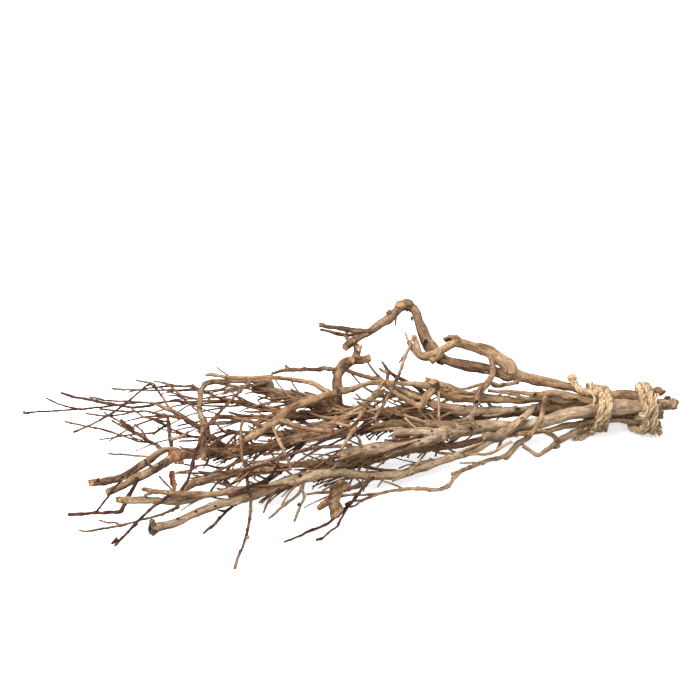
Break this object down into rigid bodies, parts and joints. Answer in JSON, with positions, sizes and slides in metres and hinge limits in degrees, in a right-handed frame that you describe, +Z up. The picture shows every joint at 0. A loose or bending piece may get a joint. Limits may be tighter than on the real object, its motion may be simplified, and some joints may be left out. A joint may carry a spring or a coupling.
{
  "type": "bundle of twigs",
  "caption": "Bundle of dry twigs and thin branches tied near the butts with jute rope, fanning out and lying flat.",
  "frame": {"origin": "middle of the footprint, on the surface that the bundle lies on", "axes": "+X along the bundle towards its butts, +Z up, -Y towards the side it is seen from"},
  "size_m": [0.5996, 0.285, 0.1028],
  "materials": {
    "tan_bark": "dry rough bark, matte",
    "brown_bark": "dry thin bark, matte",
    "red_bark": "smooth young bark, slight sheen",
    "dark_bark": "weathered dark bark, matte",
    "dry_leaf": "curled dry leaf, matte",
    "jute": "laid three-strand rope, fibrous"
  },
  "bodies": {
    "root": {"upper_limb": "tan_bark", "hook_branch": "tan_bark", "upper_fork": "tan_bark", "hanging_arc": "tan_bark", "hook_upright": "tan_bark", "hook_arm": "tan_bark", "lower_limb": "tan_bark", "gnarled_stem": "tan_bark", "diagonal_stem": "tan_bark", "top_twig": "tan_bark", "middle_stem": "tan_bark", "low_stem": "tan_bark", "low_fork": "tan_bark", "low_fork_lower": "tan_bark", "forked_twig": "tan_bark", "long_low_twig": "tan_bark", "looped_twig": "tan_bark", "under_stem": "tan_bark", "long_stem": "tan_bark", "outer_stem": "tan_bark", "outer_fork": "tan_bark", "far_stem": "tan_bark", "back_stem": "tan_bark", "gnarled_upright": "tan_bark", "short_log": "tan_bark", "arched_twig": "tan_bark", "back_log": "tan_bark", "pale_twig": "tan_bark", "crossing_stem": "tan_bark", "inner_stem": "tan_bark", "small_pale_twig": "tan_bark", "back_runner": "tan_bark", "side_twig": "brown_bark", "drooping_twig": "brown_bark", "burnt_stem": "brown_bark", "straight_twig": "brown_bark", "spray_stem": "brown_bark", "spray_riser": "brown_bark", "left_spray": "brown_bark", "bridge_twig": "brown_bark", "pink_twig": "brown_bark", "trailing_twig": "red_bark", "bent_twig": "red_bark", "red_riser": "red_bark", "front_twig": "red_bark", "red_front_twig": "red_bark", "cross_twig": "red_bark", "tip_twig": "red_bark", "spray_runner": "red_bark", "side_spray": "red_bark", "tall_twig": "red_bark", "red_twig": "red_bark", "forked_tip_twig": "dark_bark", "dark_twig": "dark_bark", "knotted_twig": "dark_bark", "curled_leaf": "dry_leaf", "leaf_scrap": "dry_leaf", "rolled_leaf": "dry_leaf", "jute_rope": "jute"}
  },
  "joints": []
}
